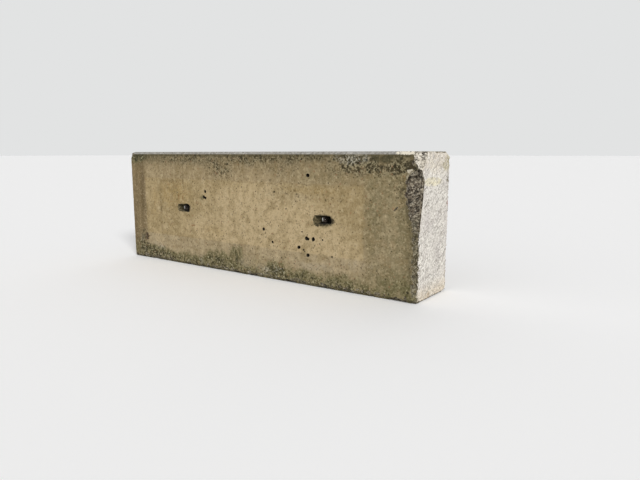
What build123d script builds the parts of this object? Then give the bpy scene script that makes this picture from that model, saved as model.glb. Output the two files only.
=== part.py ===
from build123d import *
import os

# Concrete stacking block, standing on its long narrow side. Millimetres.
# X runs along the block, -Y is the front, +Z is up.
# The origin is the middle of the footprint.

# Block
block_length = 2400
block_thickness = 400
block_height = 800

# Arrises: the front was cast in the mould between chamfer strips, the others are only worn
front_chamfer = 20
arris_round = 6

# Flat steel lifting anchors, their heads standing across the recesses in the front
anchor_spacing = 1200
anchor_level = 410
anchor_thickness = 14
anchor_width = 36
anchor_length = 240
head_setback = 8
head_round = 16
eye_diameter = 18
eye_edge_distance = 20
tail_split_length = 70
tail_spread = 40

# Recesses left by a disc-shaped former round each anchor head
recess_length = 120
recess_depth = 52
recess_edge_round = 8
anchor_side_gap = 5

# Broken right front arris. Each level is the drop below the top,
# the bite along the front face and the bite into the end face.
corner_break = [(-10, 42, 116), (35, 30, 100), (70, 20, 82), (105, 10, 60), (135, 6, 30)]
arris_break = [
    (92, 14, 14),
    (122, 58, 56),
    (150, 68, 68),
    (215, 70, 60),
    (270, 60, 54),
    (330, 42, 42),
    (400, 27, 27),
    (445, 14, 14),
]
break_overrun = 30

# Corner knocked off where the top, the back and the right end meet
chip_along_top = 80
chip_along_end = 62
chip_down_end = 34

front_y = -block_thickness / 2
back_y = block_thickness / 2
right_x = block_length / 2

recess_width = anchor_width + 2 * anchor_side_gap
recess_radius = (recess_length**2 / 4 + recess_depth**2) / (2 * recess_depth)
recess_centre_y = front_y + recess_depth - recess_radius

head_y = front_y + head_setback
tail_y = head_y + anchor_length
split_y = tail_y - tail_split_length
eye_y = head_y + eye_edge_distance


def lifting_anchor(place):
    """Flat bar with an eye in its head and a tail split into two bent tongues."""
    with BuildPart() as anchor:
        with BuildSketch(Plane.YZ.offset(place - anchor_thickness / 2)) as bar:
            with Locations(((head_y + split_y) / 2, anchor_level)):
                Rectangle(split_y - head_y, anchor_width)
            fillet(bar.vertices().group_by(Axis.X)[0], radius=head_round)
            with Locations((eye_y, anchor_level)):
                Circle(eye_diameter / 2, mode=Mode.SUBTRACT)
        extrude(amount=anchor_thickness)
        near_x = place - anchor_thickness / 2
        far_x = place + anchor_thickness / 2
        for side in (1, -1):
            bend = side * tail_spread
            with BuildSketch(Plane.XY.offset(anchor_level)):
                with BuildLine():
                    Polyline(
                        (near_x, split_y),
                        (far_x, split_y),
                        (far_x + bend, tail_y),
                        (near_x + bend, tail_y),
                        close=True,
                    )
                make_face()
            extrude(amount=side * anchor_width / 2)
    return anchor.part


def recess_former(place):
    """Upright disc with rounded rims, part of which was sunk in the front face."""
    with BuildPart() as former:
        with BuildSketch(Plane.XY.offset(anchor_level - recess_width / 2)):
            with Locations((place, recess_centre_y)):
                Circle(recess_radius)
        extrude(amount=recess_width)
        fillet(former.edges().filter_by(GeomType.CIRCLE), radius=recess_edge_round)
    return former.part


def broken_wedge(levels):
    """Concrete lost from the right front arris between the given levels."""
    with BuildPart() as wedge:
        for drop, face_bite, end_bite in levels:
            with BuildSketch(Plane.XY.offset(block_height - drop)):
                with BuildLine():
                    Polyline(
                        (right_x - face_bite, front_y),
                        (right_x - face_bite, front_y - break_overrun),
                        (right_x + break_overrun, front_y - break_overrun),
                        (right_x + break_overrun, front_y + end_bite),
                        (right_x, front_y + end_bite),
                        close=True,
                    )
                make_face()
        loft(ruled=True)
    return wedge.part


anchor_places = {"left": -anchor_spacing / 2, "right": anchor_spacing / 2}
anchors = {side: lifting_anchor(place) for side, place in anchor_places.items()}
formers = [recess_former(place) for place in anchor_places.values()]
wedges = [broken_wedge(corner_break), broken_wedge(arris_break)]

chip_top_point = Vector(right_x - chip_along_top, back_y, block_height)
chip_end_point = Vector(right_x, back_y - chip_along_end, block_height)
chip_low_point = Vector(right_x, back_y, block_height - chip_down_end)
chip_normal = (chip_end_point - chip_top_point).cross(chip_low_point - chip_top_point)
chip_plane = Plane(origin=chip_top_point, z_dir=chip_normal)

with BuildPart() as concrete_block:
    with Locations((0, 0, block_height / 2)):
        Box(block_length, block_thickness, block_height)
    chamfer(concrete_block.faces().sort_by(Axis.Y)[0].edges(), length=front_chamfer)
    back_arrises = concrete_block.faces().sort_by(Axis.Y)[-1].edges()
    cross_arrises = concrete_block.edges().filter_by(Axis.Y)
    fillet(back_arrises + cross_arrises, radius=arris_round)
    add(formers, mode=Mode.SUBTRACT)
    add(list(anchors.values()), mode=Mode.SUBTRACT)
    add(wedges, mode=Mode.SUBTRACT)
    split(bisect_by=chip_plane, keep=Keep.BOTTOM)
concrete_block.part.label = "concrete_block"

os.makedirs("parts", exist_ok=True)
export_step(concrete_block.part, "parts/concrete_block.step")
for side, anchor in anchors.items():
    anchor.label = f"lifting_anchor_{side}"
    export_step(anchor, f"parts/lifting_anchor_{side}.step")
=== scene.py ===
from math import cos, pi, radians, sin, sqrt
from random import Random

import bpy
import numpy as np
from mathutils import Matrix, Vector


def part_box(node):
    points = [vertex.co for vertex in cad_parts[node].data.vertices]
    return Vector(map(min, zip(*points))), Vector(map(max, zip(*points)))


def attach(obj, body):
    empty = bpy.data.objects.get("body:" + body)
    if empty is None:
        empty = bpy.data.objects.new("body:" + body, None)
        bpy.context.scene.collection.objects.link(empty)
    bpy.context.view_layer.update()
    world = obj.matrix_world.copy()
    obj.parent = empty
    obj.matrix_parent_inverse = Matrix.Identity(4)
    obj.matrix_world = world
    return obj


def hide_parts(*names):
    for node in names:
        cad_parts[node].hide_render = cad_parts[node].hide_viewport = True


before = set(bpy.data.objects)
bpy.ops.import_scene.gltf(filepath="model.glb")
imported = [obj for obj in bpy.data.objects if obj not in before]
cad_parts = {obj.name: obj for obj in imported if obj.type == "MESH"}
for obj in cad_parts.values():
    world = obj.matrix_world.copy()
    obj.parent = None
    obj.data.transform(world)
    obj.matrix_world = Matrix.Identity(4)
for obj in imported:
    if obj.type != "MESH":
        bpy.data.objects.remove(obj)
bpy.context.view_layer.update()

# The block's outer planes, and the chamfer round its front face. Metres.
LEFT, FRONT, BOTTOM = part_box("concrete_block")[0]
RIGHT, BACK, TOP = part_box("concrete_block")[1]
CHAMFER = 0.02

# The heads of the two lifting anchors, and the recess round each
ANCHOR_LEVEL = 0.41
ANCHOR_PLACES = (-0.6, 0.6)
RECESS_LENGTH = 0.12

# Camera, fitted to the block's arrises and anchors in the photograph
IMAGE_WIDTH = 640
IMAGE_MIDDLE = (320, 240)
VIEW_MIDDLE = (312.45, 240.81)
FOCAL_PIXELS = 538.26
SENSOR_WIDTH = 36
CAMERA_PLACE = (2.38171, -2.73189, 0.78868)
CAMERA_YAW = -0.63162
CAMERA_DOWN = 0.16087

# The edge of the break on the front: drops below the top, and how far in from the right end it lies
BREAK_DROPS = (0.0, 0.035, 0.07, 0.092, 0.122, 0.15, 0.215, 0.27, 0.33, 0.4, 0.445, 0.47)
BREAK_BITES = (0.04, 0.03, 0.022, 0.022, 0.058, 0.068, 0.07, 0.06, 0.042, 0.027, 0.014, 0.0)
BREAK_LENGTH = 0.15
BREAK_DEPTH = 0.002

# The right front arris, where the mesh is made finer: how far along the front and along the end, how far
# from the arris on sound skin, and how deep under it
FINE_LENGTH = 0.11
FINE_WIDTH = 0.13
FINE_SKIN = 0.065
FINE_DEPTH = 0.003

# The ridge across the break, where the pale corner facet ends: a point of it, and square to it downwards
RIDGE_TOP = (1.171, -0.2, 0.775)
RIDGE_SIDE = (-0.115, -0.875, -0.468)
RIDGE_STEP = 0.01

# The depths, widths or levels over which each zone of wear fades in
BROKEN_DEPTHS = (0.0015, 0.004)
INSIDE_DEPTHS = (0.001, 0.011)
END_DEPTHS = (0.003, 0.001)
RIDGE_WIDTHS = (0.0, 0.006)
RIDGE_LEVELS = (0.61, 0.67)
RIM_WIDTHS = (0.018, 0.004)
RIM_LEVELS = (0.74, 0.69)
RIM_DEPTH = 0.004
SPALL_DEPTH = 0.03
RECESS_RIM_DEPTHS = (0.001, 0.012)
LEFT_CORNER_SIZE = 0.055

# Wear of the arrises, 0 to 1: the least of it, how far from the edge each place with more reaches, and the
# level over which the corner facet is worn less
LEAST_WEAR = 0.22
END_EDGE = 0.03
FRONT_EDGE = 0.06
BACK_EDGE = 0.05
FOOT_EDGE = 0.04
FACET_FOOT = 0.68

# How far wear reaches from an arris: the least, and how much more where it is full. It starts on skin
# that lies less deep than this.
WEAR_REACH = (0.006, 0.016)
ARRIS_SKIN = 0.003

# Slope of the drag marks on the struck end
DRAG_SLOPE = radians(28)

# The envelope that wears the shape down: its mesh size, and how far it stands off sound skin
ENVELOPE_GRAIN = 0.005
STAND_OFF = 0.001
WEIGHT_STEPS = 24

# Sound skin is cut into squares of this size, so that no face is large
SKIN_SQUARE = 0.04

# The finished block is thinned to this many triangles, the flattest first
BLOCK_TRIANGLES = 165_000

# Places where the bottom of the front and its arris have spalled: x, z, half length, half height
SPALLS = (
    (-1.032, 0.168, 0.022, 0.032), (-0.965, 0.0, 0.05, 0.022), (-0.56, 0.0, 0.04, 0.016),
    (-0.12, 0.0, 0.06, 0.024), (0.035, 0.0, 0.05, 0.02), (0.35, 0.0, 0.045, 0.022),
    (0.61, 0.0, 0.07, 0.02), (1.09, 0.0, 0.06, 0.024),
)

# Chips out of the rims of the recesses: x, z, half length, half height
RIM_CHIPS = (
    (-0.572, 0.434, 0.026, 0.006), (-0.568, 0.386, 0.028, 0.006), (-0.538, 0.411, 0.008, 0.02),
    (-0.64, 0.388, 0.018, 0.005), (-0.657, 0.412, 0.008, 0.016), (0.572, 0.38, 0.036, 0.014),
    (0.542, 0.404, 0.014, 0.02), (0.612, 0.383, 0.022, 0.009), (0.664, 0.404, 0.026, 0.017),
)

# Air voids in the front: x, z, diameter
AIR_VOIDS = (
    (0.495, 0.663, 0.025), (0.423, 0.699, 0.008), (0.64, 0.623, 0.008), (0.673, 0.539, 0.007),
    (0.33, 0.457, 0.011), (0.148, 0.318, 0.022), (0.22, 0.242, 0.018), (0.452, 0.327, 0.01),
    (0.486, 0.29, 0.026), (0.498, 0.287, 0.018), (0.535, 0.289, 0.025), (0.602, 0.291, 0.013),
    (0.428, 0.231, 0.024), (0.464, 0.218, 0.013), (0.472, 0.209, 0.01), (0.496, 0.189, 0.026),
    (0.669, 0.198, 0.013), (-0.376, 0.533, 0.022), (-0.376, 0.489, 0.021), (-0.392, 0.495, 0.025),
    (-0.394, 0.623, 0.007), (-0.035, 0.575, 0.008),
)
VOID_DEPTHS = (0.5, 0.9)
VOID_HEIGHTS = (0.8, 1)
VOID_TURN = 0.5
VOID_DETAIL = 3

# Pinholes on each cast face: which face, and how many. In front they keep clear of the broken end.
PINHOLES = (("front", 120), ("back", 70), ("left", 20), ("top", 25))
PINHOLE_SIZES = (0.0025, 0.006)
PINHOLE_MARGIN = 0.045
PINHOLE_SPACING = 0.02
PINHOLE_FREE_END = 0.24
PINHOLE_DETAIL = 2

# The seed of every random draw
SEED = 11

# Pits in the right end: y, z, diameter
END_PITS = (
    (-0.078, 0.545, 0.009), (-0.024, 0.692, 0.008), (0.042, 0.725, 0.01), (0.186, 0.261, 0.016),
    (0.17, 0.64, 0.018), (0.186, 0.652, 0.012), (-0.15, 0.47, 0.006), (0.09, 0.19, 0.007),
)
END_PIT_DEPTH = 0.7

# A gouge in the front near the right arris: x, z, length, width, depth and its slope
GOUGE = (1.072, 0.5, 0.04, 0.009, 0.01)
GOUGE_SLOPE = radians(42)

# Steel bar of the lifting anchors: the radius of its edges, and which bends count as flat or as an edge
ANCHOR_EDGE = 0.0012
ANCHOR_FLAT = radians(0.5)
ANCHOR_BEND = radians(40)

# Bends under this angle are shaded smooth
SMOOTH_ANGLE = radians(32)

# Points nearer than this are one
MERGE_DISTANCE = 1e-5

# Faces nearer than this to the planes of the unbroken block still have their cement skin
SKIN_DEPTH = 0.0012
ARRIS_DEPTH = 0.0019
END_RELIEF = 0.004
FRONT_FACING = -0.5
END_FACING = 0.6

# Recesses and voids lie at least this far from the right end, and from the top and the base
HOLLOW_FROM_END = 0.17
HOLLOW_FROM_EDGE = 0.05

# How the painted shade in crevices and painted highlight on ridges spread: rounds of smoothing, and the
# reach of a hollow
HOLLOW_SMOOTHING = 3
HOLLOW_REACH = 0.002

# A flat face lies along the axes, or evenly between two on a chamfer, and in a plane of the unbroken block
FLAT_NORMAL = 0.9999
FLAT_BEVEL = 1e-3
FLAT_PLACE = 2e-5

# The finishes of the block, in the order of its material slots
FORMED, CAST, STRUCK, BROKEN, HOLLOW = range(5)

# Studio light: where each broad lamp stands, how broad it looks, and its strength
LAMPS = {
    "key_light": ((5.0, -3.4, 4.2), radians(16), 2.3),
    "fill_light": ((-3.0, -6.5, 3.4), radians(70), 0.4),
    "back_light": ((-4.5, 5.0, 4.0), radians(80), 0.7),
}
SKY_STRENGTH = 0.3
BACKDROP = "#e2e3e3"
FLOOR_SIZE = 400


def deselect_all():
    bpy.ops.object.select_all(action="DESELECT")


def activate(piece):
    deselect_all()
    piece.select_set(True)
    bpy.context.view_layer.objects.active = piece


def apply_modifier(piece, kind, **settings):
    """Adds a modifier with its settings and applies it."""
    activate(piece)
    modifier = piece.modifiers.new(kind.lower(), kind)
    for name, value in settings.items():
        setattr(modifier, name, value)
    bpy.ops.object.modifier_apply(modifier=modifier.name)


def merged_copy(node, name):
    """A copy of a CAD node's mesh with its loose triangles joined."""
    piece = bpy.data.objects.new(name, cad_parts[node].data.copy())
    bpy.context.collection.objects.link(piece)
    activate(piece)
    bpy.ops.object.mode_set(mode="EDIT")
    bpy.ops.mesh.select_all(action="SELECT")
    bpy.ops.mesh.remove_doubles(threshold=MERGE_DISTANCE)
    bpy.ops.object.mode_set(mode="OBJECT")
    piece.data.materials.clear()
    return piece


def read_vectors(items, name):
    """The named vector of every vertex or face, one row each."""
    values = np.empty(3 * len(items), np.float32)
    items.foreach_get(name, values)
    return values.reshape(-1, 3).astype(float)


def rise(value, start, end):
    """0 at start and 1 at end, smooth between them."""
    share = np.clip((value - start) / (end - start), 0, 1)
    return share * share * (3 - 2 * share)


def depths_under_planes(points):
    """How far each point lies under the planes of the unbroken block, nearest plane first."""
    x, y, z = points.T
    front = y - FRONT
    sides = (x - LEFT, RIGHT - x, z - BOTTOM, TOP - z)
    chamfers = [(front + side - CHAMFER) / sqrt(2) for side in sides]
    return np.sort(np.array([front, BACK - y, *sides, *chamfers]), axis=0)


def weigh(piece, name, weights):
    """Makes a vertex group with the given weights, rounded to steps."""
    group = piece.vertex_groups.new(name=name)
    steps = np.round(np.clip(weights, 0, 1) * WEIGHT_STEPS).astype(int)
    for step in range(1, WEIGHT_STEPS + 1):
        picked = np.flatnonzero(steps == step)
        if len(picked):
            group.add(picked.tolist(), step / WEIGHT_STEPS, "REPLACE")


def pattern(name, kind, size, start=0.0, end=1.0, **settings):
    """A procedural pattern with features of the given size, 0 up to start and 1 from end on."""
    made = bpy.data.textures.new(name, kind)
    made.noise_scale = size
    for key, value in settings.items():
        setattr(made, key, value)
    made.use_color_ramp = True
    first, last = made.color_ramp.elements
    first.position, last.position = sorted((start, end))
    rising = start < end
    first.color = (not rising,) * 3 + (1,)
    last.color = (rising,) * 3 + (1,)
    return made


def sink(piece, group, depth, relief=None, direction="NORMAL"):
    """Moves the weighted surface inwards along the direction, by depth times the relief pattern."""
    inwards = 1 if direction == "Y" else -1
    settings = {"strength": inwards * depth, "direction": direction, "mid_level": 0, "vertex_group": group}
    if relief:
        settings.update(texture=relief, texture_coords="LOCAL")
    apply_modifier(piece, "DISPLACE", **settings)


def subdivide_where(piece, chosen):
    """Subdivides the faces for whose middles chosen is true."""
    activate(piece)
    mesh = piece.data
    picked = chosen(read_vectors(mesh.polygons, "center"))
    for elements in (mesh.vertices, mesh.edges):
        elements.foreach_set("select", np.zeros(len(elements), bool))
    mesh.polygons.foreach_set("select", picked)
    bpy.ops.object.mode_set(mode="EDIT")
    bpy.ops.mesh.select_mode(type="FACE")
    bpy.ops.mesh.subdivide(number_cuts=1)
    bpy.ops.object.mode_set(mode="OBJECT")


def by_right_front_arris(points):
    """True for points in the break, and on sound skin close to its arris."""
    x, y, _ = points.T
    deep = depths_under_planes(points)[0] > FINE_DEPTH
    close = y - FRONT + RIGHT - x < FINE_SKIN
    return (x > RIGHT - FINE_LENGTH) & (y < FRONT + FINE_WIDTH) & (deep | close)


def in_break(points):
    return (depths_under_planes(points)[0] > BREAK_DEPTH) & (points[:, 0] > RIGHT - BREAK_LENGTH)


def cut_into_squares(piece):
    """Cuts the flat skin along a grid, as a saw would mark it."""
    activate(piece)
    bpy.ops.object.mode_set(mode="EDIT")
    low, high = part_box("concrete_block")
    for axis in range(3):
        across = Vector([float(i == axis) for i in range(3)])
        cuts = round((high[axis] - low[axis]) / SKIN_SQUARE)
        for cut in range(1, cuts):
            bpy.ops.mesh.select_all(action="SELECT")
            place = low + across * (high[axis] - low[axis]) * cut / cuts
            bpy.ops.mesh.bisect(plane_co=place, plane_no=across)
    bpy.ops.mesh.select_all(action="SELECT")
    bpy.ops.mesh.quads_convert_to_tris()
    bpy.ops.object.mode_set(mode="OBJECT")


def worn(x, z, places):
    """How much each point lies inside one of the oval places of the front, 1 at their middles."""
    share = np.zeros(len(x))
    for place_x, place_z, half_length, half_height in places:
        off = np.hypot((x - place_x) / half_length, (z - place_z) / half_height)
        share = np.maximum(share, np.sqrt(np.clip(1 - off, 0, 1)))
    return share


def arris_wear(points):
    """How worn the arrises are near each point, 0 to 1."""
    x, y, z = points.T
    at_end = x > RIGHT - END_EDGE
    at_front = y < FRONT + FRONT_EDGE
    at_back = y > BACK - BACK_EDGE
    at_foot = z < BOTTOM + FOOT_EDGE
    wear = np.full(len(points), LEAST_WEAR)
    for place, share in (
        (at_end & at_front, np.where(z > FACET_FOOT, 0.4, 1.0)),
        (at_foot & at_front, 0.62),
        (at_end & at_back, 0.85),
        (at_end & at_foot, 0.55),
    ):
        wear = np.maximum(wear, share * place)
    return wear


def weathering_envelope():
    """A dense copy of the block that lies just outside sound skin and under worn or broken skin."""
    envelope = merged_copy("concrete_block", "weathering_envelope")
    apply_modifier(envelope, "REMESH", mode="VOXEL", voxel_size=ENVELOPE_GRAIN)
    subdivide_where(envelope, by_right_front_arris)
    subdivide_where(envelope, in_break)

    points = read_vectors(envelope.data.vertices, "co")
    x, y, z = points.T
    depths = depths_under_planes(points)
    recess_skin, recess_rim = RECESS_RIM_DEPTHS
    in_recess = (y > FRONT + recess_skin) & (np.abs(np.abs(x) - ANCHOR_PLACES[1]) < RECESS_LENGTH)
    near_break = x > RIGHT - BREAK_LENGTH
    broken = rise(depths[0], *BROKEN_DEPTHS) * near_break
    near_arris = np.where(in_recess, 0, 1) * (depths[0] < ARRIS_SKIN)
    wear = arris_wear(points)
    reach = WEAR_REACH[0] + WEAR_REACH[1] * wear
    weigh(envelope, "arrises", near_arris * wear * np.clip(1 - depths[1] / reach, 0, 1))
    weigh(envelope, "broken", broken)
    weigh(envelope, "inside_break", rise(depths[0], *INSIDE_DEPTHS) * near_break)
    weigh(envelope, "end", rise(RIGHT - x, *END_DEPTHS) * (1 - broken))

    under_ridge = (points - np.array(RIDGE_TOP)) @ np.array(RIDGE_SIDE)
    hollow_side = rise(under_ridge, *RIDGE_WIDTHS) * rise(z, *RIDGE_LEVELS)
    weigh(envelope, "under_ridge", broken * hollow_side)

    into_sound_skin = RIGHT - np.interp(TOP - z, BREAK_DROPS, BREAK_BITES) - x
    rim_share = rise(into_sound_skin, *RIM_WIDTHS) * (into_sound_skin > 0)
    rim_share = rim_share * rise(z, *RIM_LEVELS) * (z > TOP - BREAK_DROPS[-1]) * (y < FRONT + RIM_DEPTH)
    weigh(envelope, "break_rim", rim_share)

    away = np.linalg.norm(points - (LEFT, FRONT, TOP), axis=1)
    weigh(envelope, "left_corner", np.clip(1 - away / LEFT_CORNER_SIZE, 0, 1))
    weigh(envelope, "spalls", worn(x, z, SPALLS) * (y < FRONT + SPALL_DEPTH))
    weigh(envelope, "recess_rims", worn(x, z, RIM_CHIPS) * (y < FRONT + recess_rim))

    lumps = pattern("fracture_lumps", "CLOUDS", 0.035, 0.3, 0.7, noise_depth=3)
    seams = pattern("seams_between_stones", "VORONOI", 0.026, 0.3, 0.0, weight_1=-1, weight_2=1)
    stones = pattern("small_stones", "VORONOI", 0.008, 0.0, 0.8)
    grit = pattern("mortar_grit", "CLOUDS", 0.004, 0.2, 0.8, noise_depth=2)
    chips = pattern("arris_chips", "CLOUDS", 0.022, 0.46, 0.72, noise_depth=3)
    crumbs = pattern("arris_crumbs", "CLOUDS", 0.01, 0.4, 0.75, noise_depth=3)
    drag = pattern("struck_drag", "CLOUDS", 0.02, 0.2, 0.9, noise_depth=5)

    apply_modifier(envelope, "SMOOTH", vertex_group="broken", factor=0.5, iterations=12)
    sink(envelope, "", -STAND_OFF)
    sink(envelope, "broken", 0.0035)
    sink(envelope, "broken", 0.01, lumps)
    sink(envelope, "under_ridge", RIDGE_STEP)
    sink(envelope, "inside_break", 0.009, seams, "X")
    sink(envelope, "inside_break", 0.004, stones, "Y")
    sink(envelope, "inside_break", 0.002, grit, "X")
    sink(envelope, "break_rim", 0.006, chips)
    sink(envelope, "break_rim", 0.004, crumbs)
    sink(envelope, "arrises", 0.011, chips)
    sink(envelope, "arrises", 0.005, crumbs)
    sink(envelope, "spalls", 0.01, lumps)
    sink(envelope, "spalls", 0.005, crumbs)
    sink(envelope, "left_corner", 0.014)
    sink(envelope, "left_corner", 0.006, crumbs)
    sink(envelope, "recess_rims", 0.009, lumps)
    sink(envelope, "recess_rims", 0.006, crumbs)
    sink(envelope, "end", STAND_OFF)
    sink(envelope, "end", 0.0016, drag)
    apply_modifier(envelope, "TRIANGULATE")
    return envelope


def add_bubble(place, size, turn, detail):
    """A ball to be taken out of the block, of the given size along its three axes."""
    bpy.ops.mesh.primitive_ico_sphere_add(subdivisions=detail, radius=0.5, location=place, rotation=turn)
    bubble = bpy.context.object
    bubble.scale = size
    return bubble


def air_bubbles(chance):
    """The larger air voids and pits, and the gouge."""
    bubbles = []
    for x, z, diameter in AIR_VOIDS:
        turn = [chance.uniform(-VOID_TURN, VOID_TURN) for _ in range(3)]
        depth = 2 * diameter * chance.uniform(*VOID_DEPTHS)
        size = (diameter, depth, diameter * chance.uniform(*VOID_HEIGHTS))
        bubbles.append(add_bubble((x, FRONT, z), size, turn, VOID_DETAIL))
    for y, z, diameter in END_PITS:
        turn = [chance.uniform(-VOID_TURN, VOID_TURN) for _ in range(3)]
        size = (diameter, diameter, END_PIT_DEPTH * diameter)
        bubbles.append(add_bubble((RIGHT, y, z), size, turn, VOID_DETAIL))
    x, z, length, width, depth = GOUGE
    bubbles.append(add_bubble((x, FRONT, z), (length, depth, width), (0, -GOUGE_SLOPE, 0), VOID_DETAIL))
    return bubbles


def pinholes(chance, taken):
    """Small air holes scattered over the cast faces, clear of each other and of larger voids."""
    bubbles = []
    low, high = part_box("concrete_block")
    planes = {"front": (1, FRONT), "back": (1, BACK), "left": (0, LEFT), "top": (2, TOP)}
    for face, count in PINHOLES:
        axis, level = planes[face]
        made = 0
        while made < count:
            place = Vector([
                chance.uniform(low[i] + PINHOLE_MARGIN, high[i] - PINHOLE_MARGIN) for i in range(3)
            ])
            place[axis] = level
            diameter = chance.uniform(*PINHOLE_SIZES)
            near_recess = min(abs(place.x - anchor) for anchor in ANCHOR_PLACES) < RECESS_LENGTH
            near_break = place.x > RIGHT - PINHOLE_FREE_END
            crowded = any((place - other).length < PINHOLE_SPACING for other in taken)
            if face == "front" and (near_recess or near_break) or crowded:
                continue
            taken.append(place)
            turn = (0, 0, chance.uniform(0, pi))
            bubbles.append(add_bubble(place, (diameter,) * 3, turn, PINHOLE_DETAIL))
            made += 1
    return bubbles


def take_out(piece, bubbles):
    """Takes the balls out of the piece, in two goes so that neighbours don't meet."""
    for share in (bubbles[::2], bubbles[1::2]):
        activate(share[0])
        for bubble in share:
            bubble.select_set(True)
        bpy.ops.object.join()
        cutter = bpy.context.object
        bpy.ops.object.transform_apply(location=True, rotation=True, scale=True)
        apply_modifier(piece, "BOOLEAN", operation="DIFFERENCE", object=cutter, solver="MANIFOLD")
        bpy.data.objects.remove(cutter)


def mend_folds(piece):
    """Takes out the few faces that thinning folded over, and closes the gaps."""
    activate(piece)
    bpy.ops.object.mode_set(mode="EDIT")
    bpy.ops.mesh.select_mode(type="VERT")
    bpy.ops.mesh.select_all(action="DESELECT")
    bpy.ops.mesh.select_non_manifold()
    bpy.ops.mesh.delete(type="VERT")
    bpy.ops.mesh.select_non_manifold()
    bpy.ops.mesh.fill_holes(sides=0)
    bpy.ops.mesh.select_all(action="SELECT")
    bpy.ops.mesh.quads_convert_to_tris()
    bpy.ops.object.mode_set(mode="OBJECT")


def sheared_anchor(side):
    """A lifting anchor cut from flat bar, its edges slightly rounded."""
    anchor = merged_copy(f"lifting_anchor_{side}", f"flat_steel_anchor_{side}")
    apply_modifier(anchor, "DECIMATE", decimate_type="DISSOLVE", angle_limit=ANCHOR_FLAT)
    apply_modifier(
        anchor, "BEVEL", width=ANCHOR_EDGE, segments=2, limit_method="ANGLE", angle_limit=ANCHOR_BEND,
    )
    activate(anchor)
    bpy.ops.object.shade_smooth_by_angle(angle=SMOOTH_ANGLE)
    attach(anchor, "root")
    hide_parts(f"lifting_anchor_{side}")
    return anchor


def flat_faces(mesh):
    """True for the faces that lie in one of the unbroken block's planes."""
    normals = read_vectors(mesh.polygons, "normal")
    middles = read_vectors(mesh.polygons, "center")
    _, second, largest = np.sort(np.abs(normals), axis=1).T
    straight = (largest > FLAT_NORMAL) | (np.abs(largest - second) < FLAT_BEVEL)
    return straight & (np.abs(depths_under_planes(middles)[0]) < FLAT_PLACE)


def colour(code):
    """The linear colour of an sRGB hex value."""
    shares = np.array([int(code[i:i + 2], 16) / 255 for i in (1, 3, 5)])
    linear = np.where(shares <= 0.04045, shares / 12.92, ((shares + 0.055) / 1.055) ** 2.4)
    return (*linear.tolist(), 1)


def every(millimetres):
    """The scale of a pattern whose features come so many millimetres apart."""
    return 1000 / millimetres


def add_node(tree, kind, inputs, output=0, **settings):
    """Adds a node, makes its settings, sets or links its inputs, and returns one output."""
    made = tree.nodes.new("ShaderNode" + kind)
    for name, value in settings.items():
        setattr(made, name, value)
    for name, value in inputs.items():
        if isinstance(value, bpy.types.NodeSocket):
            tree.links.new(value, made.inputs[name])
        else:
            made.inputs[name].default_value = value
    return made.outputs[output] if len(made.outputs) else None


def overlay(under, over, cover, start=0.0, end=1.0, strength=1.0, fade="LINEAR"):
    """Lays a tone over another, from nothing where cover is at start to its strength at end."""
    tree = cover.id_data
    share = add_node(tree, "MapRange", {
        "Value": cover, "From Min": start, "From Max": end, "To Max": strength,
    }, interpolation_type=fade)
    return add_node(tree, "Mix", {0: share, 6: under, 7: over}, 2, data_type="RGBA")


def stain(under, code, cover, start=0.0, end=1.0, strength=1.0):
    """Lays a colour over a tone, soft at both ends of its fade."""
    return overlay(under, colour(code), cover, start, end, strength, "SMOOTHSTEP")


def stain_where_both(under, code, first, second, start, end, strength):
    """Stains where two patterns are both strong."""
    tree = first.id_data
    both = add_node(tree, "Math", {0: first, 1: second}, operation="MULTIPLY")
    return stain(under, code, both, start, end, strength)


def cloudy(place, millimetres, detail=4, stretch=(1, 1, 1)):
    """Clouds of the given size, stretched along the axes."""
    tree = place.id_data
    drawn = add_node(tree, "Mapping", {"Vector": place, "Scale": [1 / share for share in stretch]})
    return add_node(tree, "TexNoise", {
        "Vector": drawn, "Scale": every(millimetres), "Detail": detail, "Roughness": 0.62,
    })


def mottle(under, clouds, dark, light, strength):
    """Darker tone in the thin part of the clouds and lighter tone in the thick part."""
    darker = stain(under, dark, clouds, 0.52, 0.34, strength)
    return stain(darker, light, clouds, 0.5, 0.68, strength)


def patches(place, ovals, ragged, low=0.25, high=0.75):
    """How deep each point lies in some ovals with ragged edges. Each is its middle, reach and strength."""
    tree = place.id_data
    depth = 0.0
    for middle, reach, strength in ovals:
        inside = add_node(tree, "Mapping", {
            "Vector": place, "Location": middle, "Scale": reach,
        }, vector_type="TEXTURE")
        oval = add_node(tree, "TexGradient", {"Vector": inside}, 1, gradient_type="SPHERICAL")
        depth = add_node(tree, "Math", {0: oval, 1: strength, 2: depth}, operation="MULTIPLY_ADD")
    broken = add_node(tree, "MapRange", {"Value": ragged, "From Min": low, "From Max": high, "To Max": 2.0})
    return add_node(tree, "Math", {0: depth, 1: broken}, operation="MULTIPLY")


def on_front(*ovals):
    """Ovals on the front: x, z, half length, half height and strength."""
    return [((x, FRONT, z), (along, 1, up), strength) for x, z, along, up, strength in ovals]


def on_end(*ovals):
    """Ovals on the right end: y, z, half length, half height and strength."""
    return [((RIGHT, y, z), (1, along, up), strength) for y, z, along, up, strength in ovals]


def stone_surface(tone, relief, depth, roughness):
    """A matt mineral surface with its fine relief as bump."""
    tree = relief.id_data
    bump = add_node(tree, "Bump", {"Height": relief, "Distance": depth})
    shader = add_node(tree, "BsdfPrincipled", {
        "Base Color": tone, "Roughness": roughness, "IOR": 1.52, "Specular IOR Level": 0.25, "Normal": bump,
    })
    add_node(tree, "OutputMaterial", {"Surface": shader})


def new_material(name):
    """An empty material, its node tree and the place on the object."""
    made = bpy.data.materials.new(name)
    made.use_nodes = True
    tree = made.node_tree
    tree.nodes.clear()
    return made, tree, add_node(tree, "TexCoord", {}, "Object")


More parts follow.
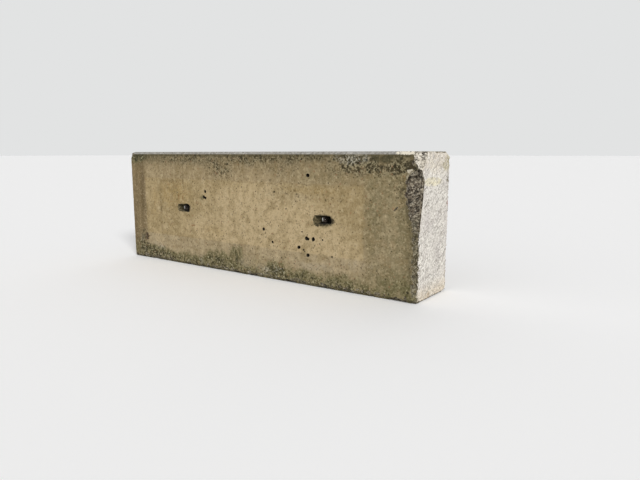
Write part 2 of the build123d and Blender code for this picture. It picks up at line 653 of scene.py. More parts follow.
def spots(place, millimetres, density):
    """Small ragged dots, at most one to a cell of the given size, in as many cells as density allows."""
    tree = place.id_data
    wander = add_node(tree, "TexNoise", {
        "Vector": place, "Scale": every(0.7 * millimetres), "Detail": 2,
    }, "Color")
    moved = add_node(tree, "VectorMath", {
        0: wander, 1: (0.0008 * millimetres,) * 3, 2: place,
    }, operation="MULTIPLY_ADD")
    reach = add_node(tree, "TexVoronoi", {"Vector": moved, "Scale": every(millimetres)}, "Distance")
    lot = add_node(tree, "SeparateColor", {"Color": reach.node.outputs["Color"]})
    chosen = add_node(tree, "Math", {0: density, 1: lot}, operation="GREATER_THAN")
    dot = add_node(tree, "MapRange", {"Value": reach, "From Min": 0.5, "From Max": 0.3})
    return add_node(tree, "Math", {0: chosen, 1: dot}, operation="MULTIPLY")


def speckled(under, code, place, millimetres, source, share, more, strength, start=0.0):
    """Dots of a colour, in more of the cells where the source pattern is strong."""
    tree = place.id_data
    density = add_node(tree, "Math", {0: source, 1: share, 2: more}, operation="MULTIPLY_ADD")
    return stain(under, code, spots(place, millimetres, density), start, 1.0, strength)


def between(value, low, high, blur):
    """1 between two levels, falling to 0 over the blur outside them."""
    tree = value.id_data
    above = add_node(tree, "MapRange", {"Value": value, "From Min": low - blur, "From Max": low})
    below = add_node(tree, "MapRange", {"Value": value, "From Min": high + blur, "From Max": high})
    return add_node(tree, "Math", {0: above, 1: below}, operation="MULTIPLY")


def weathered_cement_skin():
    """Cement skin cast against steel, years outdoors: matt buff, with algae below and lichen above."""
    made, tree, place = new_material("weathered_cement_skin")
    x = add_node(tree, "SeparateXYZ", {"Vector": place}, "X")
    z = x.node.outputs["Z"]
    broad = cloudy(place, 260, 6)
    ragged = cloudy(place, 70, 6)
    fringe = cloudy(place, 40, 6, (1, 1, 1.6))
    runs = cloudy(place, 75, 4, (1, 1, 9))
    # Sand of 1 to 2 mm and lichen specks of 2 to 5 mm are too fine to show, so these and the dots that
    # follow are drawn at 8 to 19 mm
    speckle = cloudy(place, 14, 5)
    crumbs = cloudy(place, 12, 4)
    grain = cloudy(place, 12, 5)

    # Buff skin with its pale and golden clouds
    tone = mottle(colour("#ae9971"), broad, "#9f8a63", "#bba57d", 0.7)
    pale = patches(place, on_front(
        (0.1, 0.37, 0.62, 0.36, 1.1), (-0.3, 0.27, 0.42, 0.13, 0.8), (0.54, 0.26, 0.46, 0.24, 1.0),
    ), broad, 0.2, 0.6)
    tone = stain(tone, "#c5af88", pale, 0.0, 0.9, 0.95)
    golden = patches(place, on_front(
        (-0.7, 0.5, 0.26, 0.15, 1.0), (-0.93, 0.4, 0.06, 0.2, 0.6), (0.48, 0.575, 0.34, 0.035, 0.8),
        (-0.3, 0.27, 0.16, 0.07, 0.6),
    ), ragged)
    tone = stain(tone, "#a98f5d", golden, 0.0, 0.9, 0.75)

    # Duller rims round the clean middle, and the dark band at the left end
    wandering_x = add_node(tree, "Math", {0: ragged, 1: 0.03, 2: x}, operation="MULTIPLY_ADD")
    wandering_z = add_node(tree, "Math", {0: ragged, 1: 0.016, 2: z}, operation="MULTIPLY_ADD")
    sheltered_x = between(wandering_x, -1.0, 0.885, 0.02)
    sheltered_z = between(wandering_z, 0.216, 0.612, 0.016)
    sheltered = add_node(tree, "Math", {0: sheltered_x, 1: sheltered_z}, operation="MULTIPLY")
    low_rim = stain(tone, "#ab9a7c", sheltered, 1.0, 0.0, 0.85)
    high_rim = stain(tone, "#9c8b6e", sheltered, 1.0, 0.0, 0.62)
    tone = overlay(low_rim, high_rim, z, 0.3, 0.61)
    olive = patches(place, on_front(
        (1.14, 0.45, 0.34, 0.6, 1.0), (1.05, 0.06, 0.35, 0.16, 0.8), (0.62, 0.66, 0.55, 0.09, 0.6),
        (0.93, 0.42, 0.07, 0.34, 0.6),
    ), ragged)
    tone = stain(tone, "#7b7253", olive, 0.0, 0.9, 0.9)
    tone = mottle(tone, ragged, "#85734e", "#bda986", 0.45)
    tone = mottle(tone, cloudy(place, 34, 5), "#8c7a55", "#c9b792", 0.45)
    tone = mottle(tone, runs, "#88764f", "#c0ab84", 0.28)
    band = between(wandering_x, -1.3, -1.028, 0.028)
    band_tone = mottle(colour("#776545"), runs, "#59482f", "#907c59", 0.95)
    band_tone = mottle(band_tone, fringe, "#5f5138", "#938163", 0.5)
    tone = overlay(tone, band_tone, band, 0.0, 1.0, 0.8)

    # Marks left by the mould, and run-off at the right end and under the top
    lifts = patches(place, on_front(
        (-0.76, 0.596, 0.36, 0.022, 0.6), (0.2, 0.606, 0.8, 0.012, 0.5), (-0.85, 0.4, 0.02, 0.3, 0.8),
        (-0.6, 0.62, 0.014, 0.16, 1.1), (-0.74, 0.36, 0.012, 0.24, 0.6), (-1.075, 0.42, 0.03, 0.26, 0.9),
        (0.5, 0.195, 0.5, 0.01, 0.4), (-0.6, 0.205, 0.45, 0.01, 0.5),
    ), ragged)
    tone = stain(tone, "#71603f", lifts, 0.1, 0.9, 0.6)
    right_rim = add_node(tree, "MapRange", {"Value": x, "From Min": 1.06, "From Max": 1.19})
    tone = stain_where_both(tone, "#57503a", right_rim, fringe, 0.16, 0.55, 0.6)
    top = add_node(tree, "MapRange", {"Value": z, "From Min": 0.6, "From Max": 0.775})
    tone = stain_where_both(tone, "#6c6248", top, ragged, 0.14, 0.58, 0.76)
    tone = stain_where_both(tone, "#625a40", top, runs, 0.3, 0.62, 0.6)

    # Algae and lime at the foot
    algae = patches(place, on_front(
        (0.0, 0.0, 1.6, 0.085, 1.3), (-0.27, 0.075, 0.17, 0.085, 1.2), (-0.09, 0.11, 0.075, 0.12, 0.9),
        (0.0, 0.08, 0.75, 0.13, 0.4), (0.25, 0.065, 0.14, 0.08, 0.9), (0.46, 0.045, 0.14, 0.07, 1.0),
        (0.73, 0.04, 0.22, 0.085, 1.1), (1.12, 0.06, 0.22, 0.15, 0.65), (-1.1, 0.06, 0.2, 0.1, 1.1),
        (-0.9, 0.045, 0.28, 0.08, 2.1), (-1.13, 0.77, 0.14, 0.06, 2.6), (0.85, 0.08, 0.5, 0.12, 0.15),
        (0.6, 0.385, 0.1, 0.035, 0.7), (-0.62, 0.405, 0.08, 0.03, 0.6), (-0.41, 0.49, 0.03, 0.025, 1.0),
        (-0.55, 0.055, 0.2, 0.065, 0.8),
    ), fringe, 0.3, 0.68)
    tone = stain(tone, "#6d6843", algae, 0.05, 1.0, 0.85)
    tone = stain(tone, "#424127", algae, 0.8, 2.2, 0.75)
    mineral = patches(place, on_front(
        (-0.02, 0.08, 0.1, 0.05, 1.2), (0.13, 0.065, 0.08, 0.045, 1.3), (-0.52, 0.095, 0.1, 0.035, 0.6),
        (-0.9, 0.125, 0.14, 0.03, 0.9), (0.54, 0.125, 0.2, 0.04, 1.5), (0.84, 0.165, 0.18, 0.055, 0.9),
    ), fringe, 0.3, 0.68)
    tone = stain(tone, "#b4a68c", mineral, 0.1, 1.2, 0.55)

    # Lichen and moss, as a film and as dots, with painted shade along the right arris
    lichen = patches(place, on_front(
        (0.95, 0.725, 0.34, 0.07, 1.7), (0.78, 0.72, 0.22, 0.07, 1.2), (0.02, 0.755, 0.26, 0.06, 1.25),
        (0.26, 0.715, 0.2, 0.08, 0.6), (-0.24, 0.695, 0.18, 0.1, 1.1), (-0.55, 0.76, 0.5, 0.055, 1.1),
        (0.35, 0.55, 0.26, 0.09, 0.5), (0.45, 0.765, 0.3, 0.04, 1.0),
        (1.12, 0.6, 0.1, 0.24, 0.7), (0.0, 0.31, 0.9, 0.28, 0.1), (-1.09, 0.14, 0.11, 0.11, 0.9),
        # This oval along the right arris and its chamfer is painted shade
        (1.2, 0.3, 0.045, 0.4, 0.9),
    ), ragged)
    growth = add_node(tree, "Math", {0: algae, 1: 0.55, 2: lichen}, operation="MULTIPLY_ADD")
    tone = stain_where_both(tone, "#3f3926", growth, speckle, 0.3, 0.9, 0.65)
    grown = add_node(tree, "MapRange", {"Value": growth, "From Max": 1.4, "To Max": 0.9})
    crisp = add_node(tree, "MapRange", {"Value": speckle, "From Min": 0.36, "From Max": 0.64})
    tone = mottle(tone, crisp, "#352f1e", "#9c9172", grown)
    moss = patches(place, on_front(
        (-1.1, 0.768, 0.17, 0.05, 2.8), (-0.28, 0.08, 0.09, 0.04, 1.2), (-0.095, 0.095, 0.04, 0.06, 1.1),
        (0.235, 0.06, 0.07, 0.042, 1.5), (0.43, 0.045, 0.06, 0.035, 1.3), (0.76, 0.025, 0.09, 0.035, 1.2),
        (-1.02, 0.045, 0.14, 0.04, 1.3), (-1.06, 0.165, 0.06, 0.06, 1.0), (1.02, 0.76, 0.13, 0.035, 1.2),
        (0.93, 0.755, 0.22, 0.04, 0.9),
    ), fringe, 0.3, 0.68)
    tone = stain(tone, "#3b3a25", moss, 0.3, 1.5, 0.72)
    tone = speckled(tone, "#5a4d31", place, 8, broad, 0.26, 0.0, 0.4)
    tone = speckled(tone, "#3a321c", place, 11, growth, 0.42, 0.02, 0.75)
    tone = speckled(tone, "#2b2818", place, 19, growth, 0.34, -0.06, 0.85)
    tone = speckled(tone, "#c5bd98", place, 15, algae, 0.2, -0.08, 0.6, 0.1)
    rosettes = patches(place, on_front(
        (0.8, 0.764, 0.15, 0.05, 2.2), (0.26, 0.08, 0.1, 0.05, 0.9), (-0.87, 0.105, 0.08, 0.035, 0.7),
        (0.16, 0.05, 0.06, 0.05, 0.8), (-0.43, 0.06, 0.06, 0.05, 0.7), (-1.1, 0.15, 0.07, 0.06, 0.5),
        (1.1, 0.792, 0.12, 0.02, 0.6),
    ), ragged)
    crusted = add_node(tree, "MapRange", {
        "Value": rosettes, "From Min": 0.2, "From Max": 1.4, "To Max": 0.8,
    })
    crust = add_node(tree, "MapRange", {"Value": crumbs, "From Min": 0.4, "From Max": 0.6})
    tone = mottle(tone, crust, "#2b2a1f", "#b4b0a1", crusted)
    tone = speckled(tone, "#97684a", place, 14, broad, 0.08, 0.0, 0.4)

    # Rust, soot, painted shade along the right arris, and the sand's own grain
    rust = patches(place, on_front(
        (-0.607, 0.482, 0.01, 0.04, 1), (-0.648, 0.485, 0.012, 0.04, 1),
        (-0.46, 0.452, 0.03, 0.018, 1), (-0.505, 0.29, 0.05, 0.016, 0.9),
        (-1.025, 0.165, 0.03, 0.034, 1.6), (1.165, 0.72, 0.035, 0.06, 1), (0.73, 0.153, 0.012, 0.008, 1),
    ), speckle)
    tone = stain(tone, "#7d5631", rust, 0.25, 0.9, 0.7)
    # Soot round the recesses; the ovals at the right arris are painted shade
    soot_and_arris_shade = patches(place, on_front(
        (ANCHOR_PLACES[0], ANCHOR_LEVEL, 0.084, 0.042, 1.3),
        (ANCHOR_PLACES[1] + 0.01, ANCHOR_LEVEL - 0.004, 0.096, 0.047, 1.4),
        (1.19, 0.56, 0.09, 0.24, 0.9), (1.17, 0.72, 0.07, 0.05, 1.0), (1.2, 0.25, 0.035, 0.34, 0.9),
    ), speckle, 0.1, 0.6)
    tone = stain(tone, "#35301f", soot_and_arris_shade, 0.2, 1.0, 0.9)
    tone = stain(tone, "#4f4329", grain, 0.46, 0.3, 0.65)
    tone = stain(tone, "#dac8a2", grain, 0.54, 0.72, 0.4)

    # Drip line, and the chamfers that rain washes, painted lighter as well for the light they catch
    drip_line = between(z, 0.77, 0.784, 0.008)
    tone = stain_where_both(tone, "#413c28", drip_line, fringe, 0.25, 0.65, 0.6)
    # Top chamfer: rain-washed cement, with painted skylight
    washed_and_lit = mottle(colour("#a19f9a"), speckle, "#7b7871", "#c8c6c1", 0.8)
    tone = overlay(tone, washed_and_lit, z, 0.7825, 0.7865, 0.85)
    # Painted sunlight on the worn top arris beside the break
    sunlit_pale_ledge = patches(place, on_front((1.125, 0.793, 0.085, 0.014, 2.4)), speckle, 0.4, 0.62)
    tone = stain(tone, "#ece3cf", sunlit_pale_ledge, 0.3, 0.9, 0.95)
    # Left chamfer painted lighter: painted light
    tone = stain(tone, "#a4957a", x, -1.17, -1.182, 0.3)
    flake = patches(place, on_front((1.152, 0.699, 0.036, 0.013, 2.6)), speckle)
    tone = stain(tone, "#d6ccb6", flake, 0.4, 1.0, 0.9)

    stone_surface(tone, cloudy(place, 5, 5), 0.0014, 0.9)
    return made


def formed_concrete():
    """Grey-buff concrete from the mould's other walls: plainer, dusty and clouded."""
    made, tree, place = new_material("formed_concrete")
    z = add_node(tree, "SeparateXYZ", {"Vector": place}, "Z")
    broad = cloudy(place, 300, 6)
    ragged = cloudy(place, 60, 5)
    speckle = cloudy(place, 16, 4)
    runs = cloudy(place, 40, 5, (1, 1, 12))
    # Sand of 1 to 2 mm is too fine to show, so its grain is drawn at 9 mm
    grain = cloudy(place, 9, 4)
    tone = mottle(colour("#b0a48a"), broad, "#968a70", "#c3b89f", 0.9)
    tone = mottle(tone, ragged, "#8c8167", "#c4b9a2", 0.45)
    tone = mottle(tone, runs, "#8f846a", "#c6bba2", 0.4)
    wet = add_node(tree, "MapRange", {"Value": z, "From Min": 0.3, "From Max": 0.79})
    tone = stain_where_both(tone, "#6b6249", wet, runs, 0.36, 0.6, 0.75)
    foot = add_node(tree, "MapRange", {"Value": z, "From Min": 0.16, "From Max": 0.0})
    foot_film = add_node(tree, "Math", {0: foot, 1: ragged}, operation="MULTIPLY")
    tone = stain(tone, "#66623f", foot_film, 0.12, 0.5, 0.8)
    tone = stain_where_both(tone, "#3f3d28", foot_film, speckle, 0.1, 0.26, 0.7)
    covered = mottle(colour("#b4b0a5"), broad, "#a19c8e", "#c4c1b7", 0.9)
    covered = mottle(covered, ragged, "#7f7a69", "#cbc8be", 0.55)
    tone = overlay(tone, covered, z, 0.7935, 0.7985)
    tone = speckled(tone, "#554b35", place, 11, broad, 0.3, 0.0, 0.6)
    tone = mottle(tone, grain, "#6d634c", "#d0c6ae", 0.4)
    stone_surface(tone, cloudy(place, 5, 5), 0.0012, 0.9)
    return made


def struck_concrete_end():
    """Face struck off with a board: pale and chalk-like with lime and with painted sunlight, with slanting
    drag marks and stains.
    """
    made, tree, place = new_material("struck_concrete_end")
    z = add_node(tree, "SeparateXYZ", {"Vector": place}, "Z")
    broad = cloudy(place, 120, 6)
    ragged = cloudy(place, 45, 5)
    # Sand of 1 to 2 mm is too fine to show, so its grain is drawn at 10 mm
    grain = cloudy(place, 10, 5)
    slanted = add_node(tree, "Mapping", {"Vector": place, "Rotation": (-DRAG_SLOPE, 0, 0)})
    drags = cloudy(slanted, 13, 5, (1, 8, 1))
    sweeps = cloudy(slanted, 60, 2, (1, 4, 1))
    tone = mottle(colour("#ebe5dc"), broad, "#d5cdc8", "#f8f3e9", 0.7)
    tone = stain(tone, "#ead8bb", z, 0.12, 0.0, 0.8)
    warm_top = add_node(tree, "MapRange", {"Value": z, "From Min": 0.6, "From Max": 0.72})
    tone = stain_where_both(tone, "#ecdfca", warm_top, ragged, 0.2, 0.6, 0.7)
    # Lime, algae, rust, clay and soot: colour, where it starts and is full, strength, and its ovals
    for code, start, end, strength, *ovals in (
        ("#f2e8c9", 0.1, 0.8, 0.95, (-0.03, 0.64, 0.15, 0.03, 2.0)),
        ("#a89c6e", 0.1, 0.9, 0.75, (0.17, 0.735, 0.08, 0.07, 1.3), (0.1, 0.72, 0.06, 0.04, 0.6)),
        ("#96583f", 0.2, 0.9, 0.9, (0.186, 0.512, 0.024, 0.026, 1.7)),
        ("#a98a60", 0.15, 0.9, 0.7, (-0.042, 0.02, 0.035, 0.03, 1.2), (0.12, 0.03, 0.04, 0.02, 0.6),
         (0.19, 0.1, 0.03, 0.06, 1.0)),
        ("#6a6052", 0.2, 0.9, 0.8, (0.18, 0.644, 0.036, 0.024, 1.5), (0.196, 0.105, 0.018, 0.05, 1.6),
         (0.186, 0.261, 0.014, 0.014, 1.5)),
    ):
        tone = stain(tone, code, patches(place, on_end(*ovals), ragged), start, end, strength)
    tone = mottle(tone, ragged, "#b8b0a9", "#fbf6ec", 0.42)
    tone = stain(tone, "#776f66", drags, 0.45, 0.27, 0.86)
    tone = stain(tone, "#fffcf4", drags, 0.56, 0.74, 0.6)
    trowel_line = between(sweeps, 0.496, 0.504, 0.024)
    tone = stain_where_both(tone, "#787068", trowel_line, ragged, 0.14, 0.54, 0.5)
    tone = mottle(tone, grain, "#857d70", "#fffef8", 0.62)
    tone = speckled(tone, "#6a6357", place, 14, ragged, 0.5, -0.15, 0.45)
    stone_surface(tone, drags, 0.002, 0.88)
    return made


def fractured_concrete():
    """Broken concrete: rounded gravel and sharp sand in mortar, gone dark where it was broken long ago and
    with painted shade there, with painted sunlight on the corner facet.
    """
    made, tree, place = new_material("fractured_concrete")
    x = add_node(tree, "SeparateXYZ", {"Vector": place}, "X")
    y = x.node.outputs["Y"]
    hollow = add_node(tree, "Attribute", {}, "Fac", attribute_name="hollows")
    ragged = cloudy(place, 40, 5)
    # Sharp sand of 1 to 4 mm is too fine to show, so its grit is drawn at 10 mm
    grit = cloudy(place, 10, 4)
    curled = add_node(tree, "TexNoise", {
        "Vector": place, "Scale": every(32), "Detail": 3, "Roughness": 0.6, "Distortion": 1.6,
    })
    stones = add_node(tree, "TexVoronoi", {"Vector": place, "Scale": every(15)}, "Color")
    stone_shade = add_node(tree, "SeparateColor", {"Color": stones})
    tone = mottle(colour("#8b7f69"), ragged, "#70664f", "#a0947b", 0.8)
    foot = patches(place, [((0, FRONT, 0), (1.4, 0.08, 0.06), 1.6)], ragged)
    tone = stain(tone, "#5f583f", foot, 0.2, 0.9, 0.8)
    # The lower break darker: dirt, and painted shade
    lower = patches(place, [((1.2, -0.2, 0.2), (0.08, 0.08, 0.36), 2.0)], ragged)
    tone = stain(tone, "#716a54", lower, 0.1, 0.5, 0.9)
    back_edge = patches(place, [((1.2, 0.2, 0.4), (0.08, 0.08, 0.6), 2.0)], ragged)
    tone = stain(tone, "#cbc2b0", back_edge, 0.1, 0.6, 0.9)
    pale_foot = patches(place, [((1.195, -0.19, 0.335), (0.03, 0.03, 0.036), 2.2)], ragged)
    tone = stain(tone, "#bcb5a8", pale_foot, 0.2, 0.8, 0.9)
    # Painted shade on the break below the ridge, where it turns away from the light
    near_break = patches(place, [((1.2, -0.17, 0.58), (0.16, 0.16, 0.3), 3.0)], ragged)
    from_ridge = add_node(tree, "VectorMath", {0: place, 1: RIDGE_TOP}, operation="SUBTRACT")
    under_ridge = add_node(tree, "VectorMath", {
        0: from_ridge, 1: RIDGE_SIDE,
    }, "Value", operation="DOT_PRODUCT")
    ragged_ridge = add_node(tree, "Math", {0: ragged, 1: 0.03, 2: under_ridge}, operation="MULTIPLY_ADD")
    below = add_node(tree, "MapRange", {"Value": ragged_ridge, "From Min": 0.006, "From Max": 0.013})
    tone = stain_where_both(tone, "#5e5243", near_break, below, 0.1, 0.5, 0.97)
    shadowed = patches(place, [
        ((1.195, -0.15, 0.62), (0.03, 0.024, 0.06), 2.2),
        ((1.185, -0.19, 0.705), (0.04, 0.03, 0.022), 1.8),
        ((1.175, -0.18, 0.42), (0.02, 0.03, 0.03), 1.6),
    ], ragged)
    tone = stain(tone, "#29241b", shadowed, 0.1, 0.8, 0.9)
    tone = stain(tone, "#332d23", stone_shade, 0.55, 0.95, 0.6)
    tone = stain(tone, "#cabfa9", stone_shade, 0.35, 0.05, 0.6)
    tone = stain(tone, "#b3a993", curled, 0.54, 0.64, 0.5)
    tone = stain(tone, "#1b1711", curled, 0.49, 0.39, 0.88)
    flake = patches(place, [((1.155, -0.175, 0.687), (0.034, 0.04, 0.018), 2.8)], ragged)
    tone = stain(tone, "#d8ceb8", flake, 0.2, 0.7, 0.9)

    # The corner facet, broken more lately and paler, with painted sunlight on it
    sunlit_facet_share = patches(place, [((1.2, -0.12, 0.76), (0.14, 0.16, 0.16), 2.6)], ragged)
    sunlit_facet_above = add_node(tree, "MapRange", {"Value": ragged_ridge, "From Min": 0.013, "From Max": 0.006})
    sunlit_facet_cover = add_node(tree, "Math", {0: sunlit_facet_share, 1: sunlit_facet_above}, operation="MULTIPLY")
    behind_skin = add_node(tree, "MapRange", {
        "Value": y, "From Min": FRONT + 0.01, "From Max": FRONT + 0.018,
    })
    sunlit_facet_cover = add_node(tree, "Math", {0: sunlit_facet_cover, 1: behind_skin}, operation="MULTIPLY")
    fresh_and_sunlit = mottle(colour("#e8e0d1"), ragged, "#cdc3b0", "#f6f0e4", 0.8)
    fading = add_node(tree, "MapRange", {
        "Value": x, "From Min": RIGHT - 0.004, "From Max": RIGHT - 0.02, "To Min": 0.25, "To Max": 0.92,
    })
    fresh_and_sunlit = stain(fresh_and_sunlit, "#1f1a13", curled, 0.5, 0.41, fading)
    tone = overlay(tone, fresh_and_sunlit, sunlit_facet_cover, 0.1, 0.5)

    tone = mottle(tone, grit, "#3b352c", "#d6ccb9", 0.5)
    # Painted shade in the crevices, and painted highlight on the ridges between them
    tone = stain(tone, "#14110c", hollow, 0.53, 0.7, 0.92)
    tone = stain(tone, "#e0d7c6", hollow, 0.44, 0.2, 0.45)
    # The lower break darkened again: dirt, and painted shade
    tone = stain(tone, "#77705a", lower, 0.1, 0.5, 0.38)
    crater = patches(place, on_front((-1.032, 0.168, 0.06, 0.06, 2.0)), ragged)
    tone = stain(tone, "#4e3c27", crater, 0.1, 0.5, 0.78)
    stone_surface(tone, grit, 0.003, 0.92)
    return made


def dirt_and_shade_lined_hollow():
    """Concrete in the recesses and air voids, lined with road dirt and moss that rain doesn't reach, with
    painted shade deep in and painted light on the lit end of each recess.
    """
    made, tree, place = new_material("dirt_and_shade_lined_hollow")
    y = add_node(tree, "SeparateXYZ", {"Vector": place}, "Y")
    ragged = cloudy(place, 14, 4)
    tone = mottle(colour("#4c4431"), ragged, "#332e1f", "#5f563e", 0.8)
    # Painted shade, darker deeper in
    tone = stain(tone, "#17140e", y, FRONT + 0.001, FRONT + 0.009, 0.92)
    # Painted light on the end of each recess that faces the light
    lit = patches(place, on_front(
        (ANCHOR_PLACES[0] - 0.062, ANCHOR_LEVEL, 0.04, 0.05, 1.3),
        (ANCHOR_PLACES[1] - 0.06, ANCHOR_LEVEL, 0.042, 0.05, 1.4),
    ), ragged, 0.1, 0.6)
    painted_lit_end = mottle(colour("#635940"), ragged, "#3a3322", "#8b7e60", 0.9)
    tone = overlay(tone, painted_lit_end, lit, 0.1, 1.1, 0.92)
    stone_surface(tone, ragged, 0.002, 0.95)
    return made


def galvanised_flat_steel():
    """Hot-dip galvanised bar: dull grey zinc along one worn edge of its head, rusted dark elsewhere; the
    dark rust is partly painted shade in the recess.
    """
    made, tree, place = new_material("galvanised_flat_steel")
    y = add_node(tree, "SeparateXYZ", {"Vector": place}, "Y")
    spangle = add_node(tree, "TexVoronoi", {"Vector": place, "Scale": every(9)}, "Color")
    spangle_shade = add_node(tree, "SeparateColor", {"Color": spangle})
    corroded = cloudy(place, 9, 5)
    tone = stain(colour("#c4c5c1"), "#9b9d9b", spangle_shade, 0.2, 0.9, 0.6)
    # The bar is painted darker the deeper it lies in the recess: rust, and painted shade
    depth = add_node(tree, "MapRange", {"Value": y, "From Min": FRONT + 0.009, "From Max": FRONT + 0.017})
    rubbed = patches(place, on_front(*[
        (anchor - 0.006, ANCHOR_LEVEL - 0.004, 0.009, 0.022, 2.6) for anchor in ANCHOR_PLACES
    ]), corroded)
    bright = add_node(tree, "Math", {0: rubbed, 1: depth}, operation="SUBTRACT")
    rust = add_node(tree, "MapRange", {"Value": bright, "From Min": 0.9, "From Max": 0.4})
    tone = stain(tone, "#2f221a", rust, 0.0, 1.0, 0.97)
    metal = add_node(tree, "MapRange", {"Value": rust, "To Min": 0.9, "To Max": 0.0})
    rough = add_node(tree, "MapRange", {"Value": rust, "To Min": 0.42, "To Max": 0.85})
    bump = add_node(tree, "Bump", {"Height": corroded, "Distance": 0.0006})
    shader = add_node(tree, "BsdfPrincipled", {
        "Base Color": tone, "Roughness": rough, "Metallic": metal, "Normal": bump,
    })
    add_node(tree, "OutputMaterial", {"Surface": shader})
    return made


def matt_studio_floor():
    """Matt pale paint on a smooth floor."""
    made, tree, _ = new_material("matt_studio_floor")
    camera_ray = add_node(tree, "LightPath", {}, "Is Camera Ray")
    tone = add_node(tree, "Mix", {
        0: camera_ray, 6: colour("#d6d6d4"), 7: colour("#ffffff"),
    }, 2, data_type="RGBA")
    shader = add_node(tree, "BsdfDiffuse", {"Color": tone})
    add_node(tree, "OutputMaterial", {"Surface": shader})
    return made


def mark_hollows(piece):
    """Stores how hollow the surface is at each vertex, 0.5 where it is flat, for painted shade in crevices
    and painted highlight on ridges.
    """
    mesh = piece.data
    points = read_vectors(mesh.vertices, "co")
    normals = read_vectors(mesh.vertices, "normal")
    ends = np.empty(2 * len(mesh.edges), np.int32)
    mesh.edges.foreach_get("vertices", ends)
    first, second = ends.reshape(-1, 2).T
    count = np.bincount(ends, minlength=len(points))

    def at_both_ends(first_share, second_share):
        return np.bincount(first, first_share, len(points)) + np.bincount(second, second_share, len(points))

    def neighbours_mean(values):
        total = np.stack([at_both_ends(column[second], column[first]) for column in values.T], axis=1)
        return total / count[:, None]

    squares = np.linalg.norm(points[first] - points[second], axis=1) ** 2
    squares = at_both_ends(squares, squares) / count
    bend = np.sum((neighbours_mean(points) - points) * normals, axis=1) / squares
    bend = bend[:, None]
    for _ in range(HOLLOW_SMOOTHING):
        bend = (bend + neighbours_mean(bend)) / 2
    hollows = mesh.attributes.new("hollows", "FLOAT", "POINT")
    hollows.data.foreach_set("value", np.clip(0.5 + HOLLOW_REACH * bend[:, 0], 0, 1).astype(np.float32))


def finish_block(piece):
    """Gives each face of the block the finish that its place calls for."""
    finishes = [
        formed_concrete(),
        weathered_cement_skin(),
        struck_concrete_end(),
        fractured_concrete(),
        dirt_and_shade_lined_hollow(),
    ]
    piece.data.materials.clear()
    for finish in finishes:
        piece.data.materials.append(finish)

    normals = read_vectors(piece.data.polygons, "normal")
    middles = read_vectors(piece.data.polygons, "center")
    x, y, z = middles.T
    depth = depths_under_planes(middles)[0]
    near_front = y < FRONT + CHAMFER + SKIN_DEPTH
    skin = near_front & (normals[:, 1] < FRONT_FACING) & (depth < SKIN_DEPTH)
    end = (normals[:, 0] > END_FACING) & (x > RIGHT - END_RELIEF)
    inside = (np.abs(x) < RIGHT - HOLLOW_FROM_END) & (z > HOLLOW_FROM_EDGE) & (z < TOP - HOLLOW_FROM_EDGE)
    in_hollow = (y > FRONT + SKIN_DEPTH) & (y < 0) & inside
    worn_away = (depth > ARRIS_DEPTH) | (near_front & (depth > SKIN_DEPTH))
    index = np.select([in_hollow, skin, end, worn_away], [HOLLOW, CAST, STRUCK, BROKEN], FORMED)
    piece.data.polygons.foreach_set("material_index", index.astype(np.int32))


# Block
block = merged_copy("concrete_block", "weathered_concrete_block")
cut_into_squares(block)
subdivide_where(block, by_right_front_arris)
subdivide_where(block, by_right_front_arris)
envelope = weathering_envelope()
apply_modifier(block, "BOOLEAN", operation="INTERSECT", object=envelope, solver="MANIFOLD")
bpy.data.objects.remove(envelope)
chance = Random(SEED)
bubbles = air_bubbles(chance)
bubbles += pinholes(chance, [bubble.location.copy() for bubble in bubbles])
take_out(block, bubbles)
triangles = sum(len(face.vertices) - 2 for face in block.data.polygons)
apply_modifier(block, "DECIMATE", ratio=BLOCK_TRIANGLES / triangles, use_collapse_triangulate=True)
mend_folds(block)

activate(block)
bpy.ops.object.shade_smooth_by_angle(angle=SMOOTH_ANGLE)
block.data.polygons.foreach_set("use_smooth", ~flat_faces(block.data))
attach(block, "root")
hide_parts("concrete_block")
mark_hollows(block)
finish_block(block)

# Lifting anchors
anchors = [sheared_anchor(side) for side in ("left", "right")]
zinc = galvanised_flat_steel()
for anchor in anchors:
    anchor.data.materials.append(zinc)

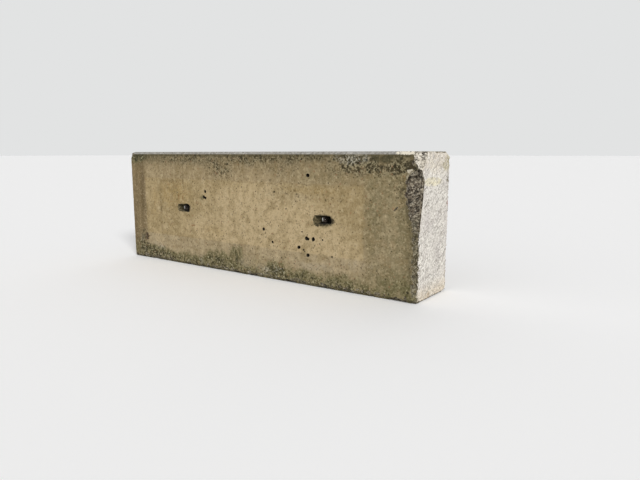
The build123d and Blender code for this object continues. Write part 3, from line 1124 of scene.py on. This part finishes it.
# Camera
camera_data = bpy.data.cameras.new("photo_camera")
camera = bpy.data.objects.new("photo_camera", camera_data)
bpy.context.collection.objects.link(camera)
bpy.context.scene.camera = camera
camera.location = CAMERA_PLACE
ahead = Vector((
    sin(CAMERA_YAW) * cos(CAMERA_DOWN),
    cos(CAMERA_YAW) * cos(CAMERA_DOWN),
    -sin(CAMERA_DOWN),
))
camera.rotation_euler = ahead.to_track_quat("-Z", "Y").to_euler()
camera_data.sensor_width = SENSOR_WIDTH
camera_data.lens = FOCAL_PIXELS / IMAGE_WIDTH * SENSOR_WIDTH
camera_data.shift_x = (IMAGE_MIDDLE[0] - VIEW_MIDDLE[0]) / IMAGE_WIDTH
camera_data.shift_y = (VIEW_MIDDLE[1] - IMAGE_MIDDLE[1]) / IMAGE_WIDTH

# Studio
deselect_all()
bpy.ops.mesh.primitive_plane_add(size=FLOOR_SIZE)
floor = bpy.context.object
floor.name = "studio_floor"
floor.data.materials.append(matt_studio_floor())

for name, (place, breadth, strength) in LAMPS.items():
    lamp_data = bpy.data.lights.new(name, "SUN")
    lamp_data.angle = breadth
    lamp_data.energy = strength
    lamp = bpy.data.objects.new(name, lamp_data)
    bpy.context.collection.objects.link(lamp)
    lamp.location = place
    aim = Vector((0, 0, TOP / 2)) - lamp.location
    lamp.rotation_euler = aim.to_track_quat("-Z", "Y").to_euler()

world = bpy.data.worlds.new("studio")
bpy.context.scene.world = world
world.use_nodes = True
sky = world.node_tree
sky.nodes.clear()
camera_ray = add_node(sky, "LightPath", {}, "Is Camera Ray")
glossy_ray = add_node(sky, "LightPath", {}, "Is Glossy Ray")
seen = add_node(sky, "Math", {0: camera_ray, 1: glossy_ray}, operation="MAXIMUM")
light = add_node(sky, "Background", {"Color": colour("#ffffff"), "Strength": SKY_STRENGTH})
backdrop = add_node(sky, "Background", {"Color": colour(BACKDROP)})
shown = add_node(sky, "MixShader", {0: seen, 1: light, 2: backdrop})
add_node(sky, "OutputWorld", {"Surface": shown})
bpy.context.scene.view_settings.view_transform = "Standard"
